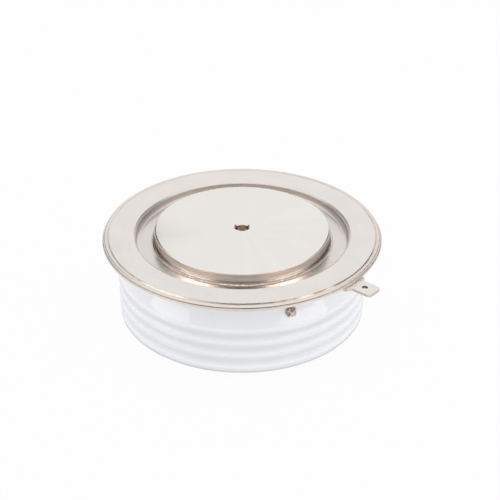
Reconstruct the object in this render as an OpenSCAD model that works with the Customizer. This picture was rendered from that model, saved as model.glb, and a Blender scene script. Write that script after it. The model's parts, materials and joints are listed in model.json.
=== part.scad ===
// Disc thyristor: a pressure-contact ceramic capsule that is clamped between two heat sinks.
// Millimetres. The origin is the centre of the anode contact face and +Z points to the cathode.
// The axis of the capsule is Z, and angles are measured from +X about it.

/* [Capsule] */
// Height over the two contact faces
height = 26; // [25:0.1:30]
// Diameter of the two contact faces
contact_d = 47.2; // [40:0.1:60]
// Height of the cathode contact face above the rim
contact_proud = 1.1; // [0.6:0.1:2]
// Height of the anode contact face below its flange
foot_h = 1.6; // [0.8:0.1:2]
// Overhang of the cold-welded rim past the ceramic
rim_overhang = 3.8; // [3.4:0.1:6]

/* [Copper poles] */
// Height of the cathode pole
cathode_pole_h = 12.1; // [11.5:0.1:13]
// Width of the shoulder where each pole widens inside the capsule
pole_shoulder = 1.6; // [1.4:0.1:2.5]
// Chamfer around each contact face
contact_chamfer = 0.45; // [0.2:0.05:0.8]
// Chamfer around the inner end of each pole
inner_chamfer = 0.2; // [0.1:0.05:0.3]
// Diameter of the centring hole in each contact face
centring_d = 3.5; // [2.5:0.1:4.5]
// Depth of the straight part of a centring hole, from the contact face
centring_depth = 2.5; // [2:0.1:3]
// Countersink at the mouth of a centring hole
centring_chamfer = 0.4; // [0.2:0.05:0.6]
// Included angle of the drilled bottom of a centring hole
drill_angle = 118; // [90:1:140]

/* [Ceramic ring] */
// Thickness of the ceramic wall from the bore to the crest of a rib
ceramic_wall = 3.4; // [3:0.1:5]
// Gap between the drawn well of the lid and the ceramic bore
bore_gap = 1.1; // [0.5:0.1:2]
// Number of grooves
grooves = 4; // [3:1:4]
// Distance from one groove to the next
rib_pitch = 3.65; // [3.2:0.05:3.9]
// Depth of a groove below the crests
groove_depth = 0.45; // [0.4:0.05:0.7]
// Radius at the bottom of a groove
groove_radius = 1.65; // [1:0.05:1.8]
// Height of the lowest groove above the ceramic base
lowest_groove = 1; // [0.85:0.05:1.3]
// Chamfer of the base edge
base_edge = 0.2; // [0.1:0.05:0.4]
// Rounding of the top edge
ceramic_edge = 0.8; // [0.4:0.1:1.2]
// Chamfer of the ends of the bore
bore_chamfer = 0.3; // [0.1:0.05:0.6]

/* [Lid and flanges] */
// Thickness of the lid sheet
lid_t = 0.6; // [0.5:0.05:0.8]
// Thickness of the weld flange on the ceramic
weld_flange_t = 0.8; // [0.5:0.05:1]
// Thickness of the anode flange
anode_flange_t = 0.6; // [0.5:0.05:0.8]
// Setback of the anode flange from the edge of the ceramic base
anode_flange_setback = 1.2; // [0.8:0.05:2]
// Width of the drawn well from the pole to the wall of the well
well_w = 4.9; // [4:0.1:8]
// Depth of the drawn well
well_depth = 2.5; // [2:0.1:3]
// Radius at the mouth of the well
well_edge = 0.7; // [0.6:0.05:1]
// Radius at the floor of the well
well_corner = 0.8; // [0.5:0.05:1]
// Width of the cold-welded band outside the flat lid
weld_band = 1.7; // [1.5:0.05:2.2]
// Width of the groove that the weld tool leaves at the edge of the flat lid
weld_groove_w = 0.15; // [0.1:0.05:0.3]
// Depth of that groove
weld_groove_depth = 0.2; // [0.1:0.05:0.4]
// Setback of the edge of the lid from the edge of the weld flange
lip_setback = 0.35; // [0.2:0.05:0.45]
// Rounding of the edge of the lid
lip_radius = 0.45; // [0.3:0.05:0.5]
// Depth of the open seam under the edge of the lid
seam_depth = 0.5; // [0.2:0.05:0.8]

/* [Braze fillets] */
// Height of the fillet on the cathode pole
cathode_fillet_h = 1; // [0.6:0.1:1.4]
// Width of the fillet on the floor of the well
cathode_fillet_w = 0.9; // [0.5:0.1:1.4]
// Height of the fillet on the anode pole
anode_fillet_h = 0.4; // [0.2:0.05:0.5]
// Width of the fillet on the anode flange
anode_fillet_w = 0.6; // [0.3:0.05:1]
// Gap that is left for braze metal between pieces that are brazed
braze_gap = 0.05; // [0.02:0.01:0.1]

/* [Auxiliary cathode tab] */
// Direction of the tab
tab_angle = -40.4; // [-50:0.1:-20]
// Width of the blade
tab_w = 4.8; // [2.8:0.1:6.3]
// Thickness of the blade
tab_t = 0.8; // [0.4:0.1:1]
// Length of the blade past the rim
tab_len = 6.2; // [5:0.1:8]
// Diameter of the hole in the blade
tab_hole_d = 1.4; // [1.2:0.1:1.8]
// Distance of the hole from the tip
tab_hole_setback = 3.2; // [2:0.1:4]
// Rounding of the corners at the tip
tab_corner = 0.9; // [0.4:0.1:1.3]
// Width that the foot has on each side of the blade
tab_foot_extra = 1.4; // [1.3:0.1:3]
// Length of the foot under the rim
tab_foot_len = 2.6; // [1.5:0.1:3]
// Part of the foot that shows past the rim
tab_foot_show = 0.15; // [0:0.05:0.5]
// Rounding between foot and blade
tab_fillet = 1.2; // [0.5:0.1:1.3]

/* [Gate terminal] */
// Direction of the gate terminal
gate_angle = -69; // [-90:0.1:-60]
// Depth of the gate terminal below the flat of the lid
gate_drop = 5.1; // [4.6:0.1:5.5]
// Diameter of the gate tube
gate_tube_d = 2.7; // [2.4:0.1:3]
// Wall of the gate tube
gate_tube_wall = 0.35; // [0.25:0.05:0.4]
// Length of the gate tube outside the ceramic
gate_reach = 1.2; // [1:0.1:4]
// Length of the gate tube inside the ceramic bore
gate_tail = 0.7; // [0.4:0.1:1]
// Length of the crimped end
crimp_len = 1; // [0.8:0.1:1.5]
// Length over which the crimp deepens
crimp_ramp = 0.6; // [0.4:0.1:0.7]
// Half thickness that the crimp leaves at the centre of the cross
crimp_core = 0.3; // [0.25:0.05:0.5]

/* [Semiconductor element] */
// Width of the seat on the anode pole that carries the locating ring
ring_seat = 0.65; // [0.4:0.05:0.9]
// Amount by which the anode disc stands out past the silicon wafer
disc_margin = 0.4; // [0.2:0.05:0.8]
// Thickness of the anode molybdenum disc
anode_disc_t = 2.2; // [1.8:0.1:2.6]
// Thickness of the silicon wafer
wafer_t = 0.7; // [0.5:0.05:1]
// Bevel of the edge of the wafer
wafer_bevel = 0.5; // [0.2:0.05:0.8]
// Setback of the cathode molybdenum disc from the bevel
cathode_disc_setback = 1.7; // [1.2:0.1:3]
// Thickness of the cathode molybdenum disc
cathode_disc_t = 1; // [0.9:0.1:1.4]
// Diameter of the gate hole in the cathode disc
disc_hole_d = 5; // [4:0.1:6]
// Height of the edge rubber above the wafer
seal_h = 0.6; // [0.4:0.05:0.8]
// Height of the locating ring above the wafer
ring_rise = 0.4; // [0.2:0.05:0.6]
// Length of the skirt of the locating ring down the anode pole
ring_skirt = 3; // [2:0.1:5]
// Thickness of that skirt
ring_skirt_t = 1.4; // [1:0.1:2]
// Clearance of pieces that slip over or into each other
slip_gap = 0.15; // [0.1:0.01:0.25]

/* [Gate contact] */
// Diameter of the gate bore in the cathode pole
gate_bore_d = 8; // [7.6:0.1:10]
// Copper left between the gate bore and the centring hole
gate_web = 2.5; // [2.2:0.1:3]
// Wall of the insulating cup
cup_wall = 0.7; // [0.5:0.05:0.8]
// Thickness of the closed end of the cup
cup_end = 0.8; // [0.6:0.05:1.2]
// Diameter of the contact pin
pin_d = 2; // [1.6:0.1:2.4]
// Height of the underside of the pin's collar above the cathode disc
collar_h = 2.6; // [2.5:0.1:3]
// Thickness of the collar
collar_t = 0.6; // [0.4:0.1:0.8]
// Diameter of the spigot inside the spring
spigot_d = 3; // [2:0.1:3.4]
// Height of the spigot
spigot_h = 1.4; // [0.8:0.1:1.8]
// Diameter of the spring wire
spring_wire_d = 0.6; // [0.4:0.05:0.7]
// Pitch of the spring, rounded so that whole turns fill its length
spring_pitch = 1; // [0.9:0.05:1.4]
// Diameter of the gate lead
lead_d = 1; // [0.6:0.1:1.1]
// Wall of the sleeve on the gate lead
sleeve_wall = 0.3; // [0.2:0.05:0.35]
// Gap between the lead and its sleeve
sleeve_gap = 0.08; // [0.05:0.01:0.12]
// Bend radius of the gate lead
lead_bend = 1.5; // [1.2:0.1:2]
// Length of the sleeve inside the gate tube
sleeve_tail = 1; // [0.5:0.1:1.5]

/* [Hidden] */
$fn = 96;
arc_steps = 8;
cut_past = 1;

// Radii, from the contact faces outwards
contact_r = contact_d / 2;
pole_r = contact_r + pole_shoulder;
well_r = contact_r + well_w;
ceramic_bore_r = well_r + lid_t + bore_gap;
ceramic_r = ceramic_bore_r + ceramic_wall;
rim_r = ceramic_r + rim_overhang;
lid_flat_r = rim_r - weld_band;

// Levels of the housing
lid_top = height - contact_proud;
weld_z = lid_top - lid_t;
ceramic_top = weld_z - weld_flange_t;
well_floor = lid_top - well_depth;
ceramic_base = foot_h + anode_flange_t;
gate_z = lid_top - gate_drop;

// Levels of the stack between the poles, from the cathode pole downwards
cathode_disc_top = height - cathode_pole_h;
wafer_top = cathode_disc_top - cathode_disc_t;
wafer_base = wafer_top - wafer_t;
anode_pole_h = wafer_base - anode_disc_t;

// Radii of the stack
anode_disc_r = pole_r - ring_seat - slip_gap;
wafer_r = anode_disc_r - disc_margin;
cathode_disc_r = wafer_r - wafer_bevel - cathode_disc_setback;

// Rib profile: convex ribs and concave grooves that run into each other
rib_span = (pow(rib_pitch / 2, 2) + pow(groove_depth, 2)) / (2 * groove_depth);
rib_radius = rib_span - groove_radius;
rib_sweep = asin(rib_pitch / 2 / rib_span);
rib_centre_r = ceramic_r - rib_radius;
groove_centre_r = ceramic_r - groove_depth + groove_radius;
base_angle = min(rib_sweep, asin(min(1, (base_edge + rib_pitch / 2 - lowest_groove) / rib_radius)));
base_r = rib_centre_r + rib_radius * cos(base_angle) - base_edge;

// Gate contact
gate_bore_top = height - centring_depth - gate_web;
cup_r = gate_bore_d / 2 - slip_gap;
cup_bore_r = cup_r - cup_wall;
collar_r = cup_bore_r - 2 * slip_gap;
collar_base = cathode_disc_top + collar_h;
spring_seat = collar_base + collar_t;
spring_wire_r = spring_wire_d / 2;
spring_r = collar_r - spring_wire_r;
lead_r = lead_d / 2;
sleeve_bore_r = lead_r + sleeve_gap;
sleeve_r = sleeve_bore_r + sleeve_wall;
lead_z = cathode_disc_top + sleeve_r + 2 * slip_gap;
slot_w = 2 * (sleeve_r + slip_gap);
slot_h = lead_z + sleeve_r + slip_gap - cathode_disc_top;

// Gate tube, along its own axis
gate_tube_r = gate_tube_d / 2;
gate_start = ceramic_bore_r - gate_tail;
gate_tip = ceramic_r + gate_reach;
crimp_start = gate_tip - crimp_len;

// Points of an arc about a centre, from one angle to another
function arc(centre, radius, from, to, steps = arc_steps) = [
    for (i = [0 : steps])
        let (a = from + (to - from) * i / steps)
        centre + radius * [cos(a), sin(a)]
];

// Points of the concave face of a braze fillet, from the sheet up the pole
function fillet_face(sheet_z, w, h) = [
    for (i = [0 : arc_steps])
        let (a = 90 * i / arc_steps)
        [contact_r + braze_gap + w * (1 - sin(a)), sheet_z + h * (1 - cos(a))]
];

// A centring hole that opens upwards at z = 0, with its countersink and drilled bottom
module centring_hole() {
    r = centring_d / 2;
    mouth_r = r + centring_chamfer;
    rotate_extrude()
        polygon([
            [0, cut_past], [mouth_r, cut_past], [mouth_r, 0], [r, -centring_chamfer],
            [r, -centring_depth], [0, -centring_depth - r / tan(drill_angle / 2)]
        ]);
}

module anode_pole() {
    color("#d9d3cd")
    difference() {
        rotate_extrude()
            polygon([
                [0, 0], [contact_r - contact_chamfer, 0], [contact_r, contact_chamfer],
                [contact_r, ceramic_base], [pole_r, ceramic_base],
                [pole_r, anode_pole_h - inner_chamfer], [pole_r - inner_chamfer, anode_pole_h],
                [0, anode_pole_h]
            ]);
        rotate([180, 0, 0])
            centring_hole();
    }
}

// Flat ring that is brazed to the shoulder of the anode pole and to the base of the ceramic
module anode_flange() {
    color("#d5cbc3")
    rotate_extrude()
        translate([contact_r + braze_gap, foot_h])
            square([base_r - anode_flange_setback - contact_r - braze_gap, anode_flange_t]);
}

module anode_braze_ring() {
    color("#c9bfb5")
    rotate_extrude()
        polygon(concat(
            [[contact_r + braze_gap, foot_h]],
            fillet_face(foot_h, anode_fillet_w, -anode_fillet_h)
        ));
}

// Outline of the outside of the ceramic from the base upwards: the base cuts through the lowest rib
function groove_z(i) = ceramic_base + lowest_groove + i * rib_pitch;
function ceramic_outline() = concat(
    [[base_r, ceramic_base]],
    arc([rib_centre_r, groove_z(-0.5)], rib_radius, base_angle, rib_sweep),
    [for (i = [0 : grooves - 1]) each concat(
        arc([groove_centre_r, groove_z(i)], groove_radius, 180 + rib_sweep, 180 - rib_sweep),
        arc([rib_centre_r, groove_z(i + 0.5)], rib_radius, -rib_sweep, i < grooves - 1 ? rib_sweep : 0)
    )],
    arc([ceramic_r - ceramic_edge, ceramic_top - ceramic_edge], ceramic_edge, 0, 90)
);

module ceramic_housing() {
    color("#f1f0f4")
    difference() {
        rotate_extrude()
            polygon(concat(
                ceramic_outline(),
                [
                    [ceramic_bore_r + bore_chamfer, ceramic_top],
                    [ceramic_bore_r, ceramic_top - bore_chamfer],
                    [ceramic_bore_r, ceramic_base + bore_chamfer],
                    [ceramic_bore_r + bore_chamfer, ceramic_base]
                ]
            ));
        at_gate()
            translate([0, 0, gate_start])
                cylinder(r = gate_tube_r + braze_gap, h = gate_tip - gate_start);
    }
}

// Ring with a rounded edge that is brazed to the top of the ceramic and carries the lid
module weld_flange() {
    edge_r = weld_flange_t / 2;
    color("#cfc6bd")
    rotate_extrude()
        polygon(concat(
            [[ceramic_bore_r, weld_z], [ceramic_bore_r, ceramic_top]],
            arc([rim_r - edge_r, weld_z - edge_r], edge_r, -90, 90)
        ));
}

// Outline of the blade, with the tip along +X
function tab_outline() =
    let (
        foot_end = rim_r + tab_foot_show,
        foot_start = rim_r - tab_foot_len,
        tip = rim_r + tab_len,
        half = tab_w / 2,
        foot_half = half + tab_foot_extra
    )
    concat(
        [[foot_start, -foot_half], [foot_end, -foot_half]],
        arc([foot_end + tab_fillet, -half - tab_fillet], tab_fillet, 180, 90),
        arc([tip - tab_corner, -half + tab_corner], tab_corner, -90, 0),
        arc([tip - tab_corner, half - tab_corner], tab_corner, 0, 90),
        arc([foot_end + tab_fillet, half + tab_fillet], tab_fillet, 270, 180),
        [[foot_end, foot_half], [foot_start, foot_half]]
    );

module auxiliary_cathode_tab() {
    color("#ddd2ca")
    rotate(tab_angle)
        translate([0, 0, ceramic_top - tab_t])
            difference() {
                linear_extrude(tab_t)
                    polygon(tab_outline());
                translate([rim_r + tab_len - tab_hole_setback, 0, -cut_past])
                    cylinder(d = tab_hole_d, h = tab_t + 2 * cut_past);
            }
}

// Puts +Z along the outward axis of the gate terminal
module at_gate() {
    rotate(gate_angle)
        translate([0, 0, gate_z])
            rotate([0, 90, 0])
                children();
}

// One jaw of the crimping tool: a square bar on edge that runs in along the tube, then down the ramp
module crimp_jaw() {
    bar = gate_tube_d;
    ramp = atan((gate_tube_r - crimp_core) / crimp_ramp);
    translate([crimp_core, 0, crimp_start + crimp_ramp]) {
        rotate(-45)
            cube([bar, bar, crimp_len]);
        rotate([0, -ramp, 0])
            mirror([0, 0, 1])
                rotate(-45)
                    cube([bar, bar, 2 * crimp_ramp + bar]);
    }
}

// Tube that is brazed into the ceramic and pinched shut on the lead by four jaws
module gate_tube() {
    color("#8f837b")
    at_gate()
        difference() {
            translate([0, 0, gate_start])
                cylinder(r = gate_tube_r, h = gate_tip - gate_start);
            translate([0, 0, gate_start - cut_past])
                cylinder(r = gate_tube_r - gate_tube_wall, h = crimp_start - gate_start + cut_past);
            for (a = [0 : 90 : 270])
                rotate(a)
                    crimp_jaw();
        }
}

module anode_molybdenum_disc() {
    color("#8b8d92")
    translate([0, 0, anode_pole_h])
        cylinder(r = anode_disc_r, h = anode_disc_t);
}

module silicon_wafer() {
    color("#5d6470")
    translate([0, 0, wafer_base])
        cylinder(r1 = wafer_r, r2 = wafer_r - wafer_bevel, h = wafer_t);
}

// Bead of rubber cast around the bevelled edge of the wafer, on the ledge of the anode disc
module wafer_edge_rubber() {
    inner_r = cathode_disc_r + cathode_disc_setback / 3;
    seal_top = wafer_top + seal_h;
    color("#8c3b30")
    rotate_extrude()
        polygon([
            [wafer_r, wafer_base], [anode_disc_r, wafer_base], [anode_disc_r, wafer_top],
            [anode_disc_r - seal_h, seal_top], [inner_r + seal_h / 2, seal_top],
            [inner_r, wafer_top], [wafer_r - wafer_bevel, wafer_top]
        ]);
}

// Ring that holds the element in line with the anode pole and clear of the ceramic
module locating_ring() {
    skirt_r = pole_r + slip_gap;
    color("#f4f2ec")
    rotate_extrude()
        polygon([
            [anode_disc_r + slip_gap, anode_pole_h], [skirt_r, anode_pole_h],
            [skirt_r, anode_pole_h - ring_skirt], [skirt_r + ring_skirt_t, anode_pole_h - ring_skirt],
            [skirt_r + ring_skirt_t, anode_pole_h], [ceramic_bore_r - slip_gap, anode_pole_h],
            [ceramic_bore_r - slip_gap, wafer_top + ring_rise],
            [anode_disc_r + slip_gap, wafer_top + ring_rise]
        ]);
}

module cathode_molybdenum_disc() {
    color("#8b8d92")
    translate([0, 0, wafer_top])
        difference() {
            cylinder(r = cathode_disc_r, h = cathode_disc_t);
            translate([0, 0, -cut_past])
                cylinder(d = disc_hole_d, h = cathode_disc_t + 2 * cut_past);
        }
}

// Pin that the spring presses on the gate area of the wafer
module gate_pin() {
    spigot_top = spring_seat + spigot_h;
    color("#c9b27a")
    rotate_extrude()
        polygon([
            [0, wafer_top], [pin_d / 2, wafer_top], [pin_d / 2, collar_base], [collar_r, collar_base],
            [collar_r, spring_seat], [spigot_d / 2, spring_seat], [spigot_d / 2, spigot_top],
            [0, spigot_top]
        ]);
}

// Joins a row of rings into one solid: with end caps, or into a tube when the row returns to its start
module skin(rings, returns = false) {
    sides = len(rings[0]);
    last = len(rings) - 1;
    walls = [
        for (i = [0 : returns ? last : last - 1], k = [0 : sides - 1])
            let (
                next = (k + 1) % sides,
                here = i * sides,
                there = ((i + 1) % (last + 1)) * sides
            )
            each [[here + k, there + k, there + next], [here + k, there + next, here + next]]
    ];
    caps = returns ? [] : [
        for (k = [1 : sides - 2])
            each [[0, k, k + 1], [last * sides, last * sides + k + 1, last * sides + k]]
    ];
    polyhedron(points = [for (ring = rings) each ring], faces = concat(walls, caps));
}

// A ring of points about a centre, in the plane of two directions
function ring(centre, across, along, radius, sides) = [
    for (k = [0 : sides - 1])
        let (a = 360 * k / sides)
        centre + radius * (cos(a) * across + sin(a) * along)
];

module gate_spring() {
    sides = 8;
    steps_per_turn = 20;
    rise = gate_bore_top - cup_end - spring_seat - spring_wire_d;
    turns = max(1, round(rise / spring_pitch));
    steps = turns * steps_per_turn;
    color("#b9bcc0")
    skin([
        for (i = [0 : steps])
            let (a = 360 * i / steps_per_turn)
            ring(
                [spring_r * cos(a), spring_r * sin(a), spring_seat + spring_wire_r + rise * i / steps],
                [cos(a), sin(a), 0], [0, 0, 1], spring_wire_r, sides
            )
    ]);
}

// Cup that keeps the gate contact apart from the cathode pole, with a notch for the lead
module gate_insulator_cup() {
    color("#efe9da")
    difference() {
        translate([0, 0, cathode_disc_top])
            cylinder(r = cup_r, h = gate_bore_top - cathode_disc_top);
        translate([0, 0, cathode_disc_top - cut_past])
            cylinder(r = cup_bore_r, h = gate_bore_top - cup_end - cathode_disc_top + cut_past);
        lead_slot();
    }
}

// Slot from the axis to the edge of the cathode pole, open at the bottom
module lead_slot() {
    rotate(gate_angle)
        translate([0, -slot_w / 2, cathode_disc_top - cut_past])
            cube([pole_r + cut_past, slot_w, slot_h + cut_past]);
}

// Points of the lead's route in its own plane, as [distance from the axis, height, heading]
function lead_route(from_r, to_r) =
    let (
        rise = gate_z - lead_z,
        bend = min(lead_bend, rise / 2),
        up_r = gate_start - gate_tail - bend
    )
    concat(
        [[from_r, lead_z, 0]],
        [for (p = [0 : arc_steps])
            let (a = 90 * p / arc_steps)
            [up_r - bend + bend * sin(a), lead_z + bend * (1 - cos(a)), a]],
        [for (p = [0 : arc_steps])
            let (a = 90 - 90 * p / arc_steps)
            [up_r + bend * (1 - cos(90 - a)), gate_z - bend * (1 - cos(a)), a]],
        [[to_r, gate_z, 0]]
    );

// Rings of a round section of the given radius along the route
function lead_rings(from_r, to_r, radius) =
    let (sides = 12)
    [for (p = lead_route(from_r, to_r))
        ring([p[0], 0, p[1]], [-sin(p[2]), 0, cos(p[2])], [0, -1, 0], radius, sides)];

module gate_lead() {
    color("#c58a5c")
    rotate(gate_angle)
        skin(lead_rings(pin_d / 2 + braze_gap, crimp_start, lead_r));
}

module gate_lead_sleeve() {
    from_r = collar_r;
    to_r = gate_start + sleeve_tail;
    outside = lead_rings(from_r, to_r, sleeve_r);
    inside = lead_rings(from_r, to_r, sleeve_bore_r);
    color("#f3f1ea")
    rotate(gate_angle)
        skin(concat(outside, [for (i = [len(inside) - 1 : -1 : 0]) inside[i]]), returns = true);
}

module cathode_pole() {
    shoulder_z = well_floor - lid_t;
    color("#dfd9d3")
    difference() {
        rotate_extrude()
            polygon([
                [0, cathode_disc_top], [pole_r - inner_chamfer, cathode_disc_top],
                [pole_r, cathode_disc_top + inner_chamfer], [pole_r, shoulder_z],
                [contact_r, shoulder_z], [contact_r, height - contact_chamfer],
                [contact_r - contact_chamfer, height], [0, height]
            ]);
        translate([0, 0, height])
            centring_hole();
        translate([0, 0, cathode_disc_top - cut_past])
            cylinder(d = gate_bore_d, h = gate_bore_top - cathode_disc_top + cut_past);
        lead_slot();
    }
}

// Drawn diaphragm: its well is brazed to the cathode pole and its rim is cold-welded to the flange
module cathode_lid() {
    well_centre = [well_r - well_corner, well_floor + well_corner];
    lip_r = rim_r - lip_setback;
    bead_start = 115;
    color("#d8d2cc")
    rotate_extrude()
        polygon(concat(
            [[contact_r + braze_gap, well_floor]],
            arc(well_centre, well_corner, -90, 0),
            arc([well_r + well_edge, lid_top - well_edge], well_edge, 180, 90),
            [
                [lid_flat_r, lid_top],
                [lid_flat_r, lid_top - weld_groove_depth],
                [lid_flat_r + weld_groove_w, lid_top - weld_groove_depth]
            ],
            arc([lip_r - lip_radius, lid_top - lip_radius], lip_radius, bead_start, 0),
            [[lip_r - seam_depth, weld_z], [well_r + lid_t, weld_z]],
            arc(well_centre, well_corner + lid_t, 0, -90),
            [[contact_r + braze_gap, well_floor - lid_t]]
        ));
}

module cathode_braze_ring() {
    color("#cdc1b6")
    rotate_extrude()
        polygon(concat(
            [[contact_r + braze_gap, well_floor]],
            fillet_face(well_floor, cathode_fillet_w, cathode_fillet_h)
        ));
}

anode_pole();
anode_flange();
anode_braze_ring();
ceramic_housing();
weld_flange();
auxiliary_cathode_tab();
gate_tube();
anode_molybdenum_disc();
silicon_wafer();
wafer_edge_rubber();
locating_ring();
cathode_molybdenum_disc();
gate_pin();
gate_spring();
gate_insulator_cup();
gate_lead();
gate_lead_sleeve();
cathode_pole();
cathode_lid();
cathode_braze_ring();
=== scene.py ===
import json
import math

import bpy
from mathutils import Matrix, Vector


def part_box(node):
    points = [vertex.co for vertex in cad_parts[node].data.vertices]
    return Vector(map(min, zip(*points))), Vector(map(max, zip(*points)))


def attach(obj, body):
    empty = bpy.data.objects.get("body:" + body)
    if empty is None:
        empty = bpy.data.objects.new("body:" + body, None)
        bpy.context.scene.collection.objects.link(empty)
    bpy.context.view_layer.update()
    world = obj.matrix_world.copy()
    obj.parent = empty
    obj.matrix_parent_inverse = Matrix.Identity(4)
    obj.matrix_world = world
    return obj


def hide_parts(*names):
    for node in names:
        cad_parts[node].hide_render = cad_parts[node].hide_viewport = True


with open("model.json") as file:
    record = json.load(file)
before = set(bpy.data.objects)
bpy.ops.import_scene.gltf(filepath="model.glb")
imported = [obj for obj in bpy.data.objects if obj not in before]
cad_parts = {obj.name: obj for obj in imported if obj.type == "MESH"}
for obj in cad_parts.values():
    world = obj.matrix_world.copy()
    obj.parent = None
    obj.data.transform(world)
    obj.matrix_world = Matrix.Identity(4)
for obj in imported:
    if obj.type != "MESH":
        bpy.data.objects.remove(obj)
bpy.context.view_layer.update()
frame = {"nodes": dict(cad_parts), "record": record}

# Anode pole: the lower contact, a copper slug that is turned on a lathe and nickel-plated.
# The capsule stands on its face, which has a chamfered edge and a drilled centring hole.
# The shoulder above the face is brazed to the anode flange.
mm = 0.001
contact_radius = 23.6 * mm
contact_chamfer = 0.45 * mm
inner_chamfer = 0.2 * mm
centring_radius = 1.75 * mm
centring_depth = 2.5 * mm
centring_chamfer = 0.4 * mm
drill_half_angle = math.radians(59)
edge_break = 0.2 * mm
smooth_angle = math.radians(32)
doubled_within = 0.002 * mm
anode_low, anode_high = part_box("anode_pole")
pole_radius = anode_high.x
anode_face = anode_low.z
anode_top = anode_high.z
ceramic_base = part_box("ceramic_housing")[0].z


def arc(centre, radius, start, end, steps=10):
    """Points of a round stretch of an outline, from one angle to another in degrees."""
    angles = [math.radians(start + (end - start) * i / steps) for i in range(steps + 1)]
    return [(centre[0] + radius * math.cos(a), centre[1] + radius * math.sin(a)) for a in angles]


def chain(name, points):
    """A new mesh that holds one chain of edges through the points, left in edit mode."""
    if bpy.context.mode != "OBJECT":
        bpy.ops.object.mode_set(mode="OBJECT")
    bpy.ops.object.select_all(action="DESELECT")
    bpy.ops.mesh.primitive_plane_add(size=mm)
    piece = bpy.context.object
    piece.name = piece.data.name = name
    bpy.ops.object.mode_set(mode="EDIT")
    bpy.ops.mesh.merge(type="CENTER")
    bpy.ops.transform.translate(value=points[0])
    for here, there in zip(points, points[1:]):
        bpy.ops.mesh.extrude_region_move(TRANSFORM_OT_translate={"value": there - here})
    return piece


def close_up(piece):
    """Merges doubled points, turns the faces outwards, and smooths all but the sharp edges."""
    bpy.ops.mesh.select_all(action="SELECT")
    bpy.ops.mesh.remove_doubles(threshold=doubled_within)
    bpy.ops.mesh.normals_make_consistent(inside=False)
    bpy.ops.object.mode_set(mode="OBJECT")
    bpy.ops.object.shade_smooth_by_angle(angle=smooth_angle)
    return piece


def turned(name, half_section, steps=216):
    """A piece of revolution: its half section of (radius, height) points is spun about the axis."""
    closed = half_section if half_section[0][0] == 0 else half_section + half_section[:1]
    piece = chain(name, [Vector((r, 0, z)) for r, z in closed])
    bpy.ops.mesh.select_all(action="SELECT")
    bpy.ops.mesh.spin(steps=steps, angle=2 * math.pi, center=(0, 0, 0), axis=(0, 0, 1))
    return close_up(piece)


def centring_hole(face, inwards):
    """Half section of a centring hole from its drilled point to its mouth, from a face inwards."""
    point_depth = centring_depth + centring_radius / math.tan(drill_half_angle)
    return [
        (0, face + inwards * point_depth),
        (centring_radius, face + inwards * centring_depth),
        (centring_radius, face + inwards * centring_chamfer),
        (centring_radius + centring_chamfer, face),
    ]


def contact_edge(face, inwards):
    """Chamfer at the edge of a contact face, with the small rounds that the tool leaves."""
    slope = contact_chamfer - edge_break
    return [
        (contact_radius - contact_chamfer - edge_break, face),
        (contact_radius - slope, face + inwards * edge_break / 2),
        (contact_radius - edge_break / 2, face + inwards * slope),
        (contact_radius, face + inwards * (contact_chamfer + edge_break)),
    ]


def new_finish(name):
    """A new material, its node tree and its shader."""
    material = bpy.data.materials.new(name)
    material.use_nodes = True
    return material, material.node_tree, material.node_tree.nodes["Principled BSDF"]


def add(tree, kind, inputs=None, **settings):
    """A shader node with its settings. Its inputs are plain values or outputs of other nodes."""
    node = tree.nodes.new("ShaderNode" + kind)
    for setting, value in settings.items():
        setattr(node, setting, value)
    for socket, value in (inputs or {}).items():
        if isinstance(value, bpy.types.NodeSocket):
            tree.links.new(value, node.inputs[socket])
        else:
            node.inputs[socket].default_value = value
    return node


def sums(tree, operation, first, second=0.0):
    """Result of a sum on two values."""
    return add(tree, "Math", {0: first, 1: second}, operation=operation).outputs[0]


def scaled(tree, value, low, high, to_low=0.0, to_high=1.0, kind="LINEAR"):
    """A value mapped from one range to another and held inside it."""
    inputs = {"Value": value, "From Min": low, "From Max": high, "To Min": to_low, "To Max": to_high}
    return add(tree, "MapRange", inputs, interpolation_type=kind).outputs["Result"]


def tinted(tree, share, colour, other):
    """A colour that goes over to another one by a share from 0 to 1."""
    ends = [c if isinstance(c, bpy.types.NodeSocket) else (*c, 1) for c in (colour, other)]
    return add(tree, "Mix", {0: share, 6: ends[0], 7: ends[1]}, data_type="RGBA").outputs[2]


def noise(tree, vector, scale, detail=3.0, roughness=0.55):
    """Cloudy noise of a given number of waves per metre."""
    inputs = {"Vector": vector, "Scale": scale, "Detail": detail, "Roughness": roughness}
    return add(tree, "TexNoise", inputs).outputs["Fac"]


def new_group(name, inputs, outputs):
    """A shader group with named values in and out, and its two end nodes."""
    group = bpy.data.node_groups.new(name, "ShaderNodeTree")
    for socket, value in inputs.items():
        entry = group.interface.new_socket(socket, in_out="INPUT", socket_type="NodeSocketFloat")
        entry.default_value = value
    for socket in outputs:
        group.interface.new_socket(socket, in_out="OUTPUT", socket_type="NodeSocketFloat")
    start, end = group.nodes.new("NodeGroupInput"), group.nodes.new("NodeGroupOutput")
    return group, start.outputs, end.inputs


def placed(tree, group, **inputs):
    """Outputs of a shader group that is placed in a material with its own values."""
    node = add(tree, "Group", node_tree=group)
    for socket, value in inputs.items():
        node.inputs[socket.replace("_", " ").capitalize()].default_value = value
    return node.outputs


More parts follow.
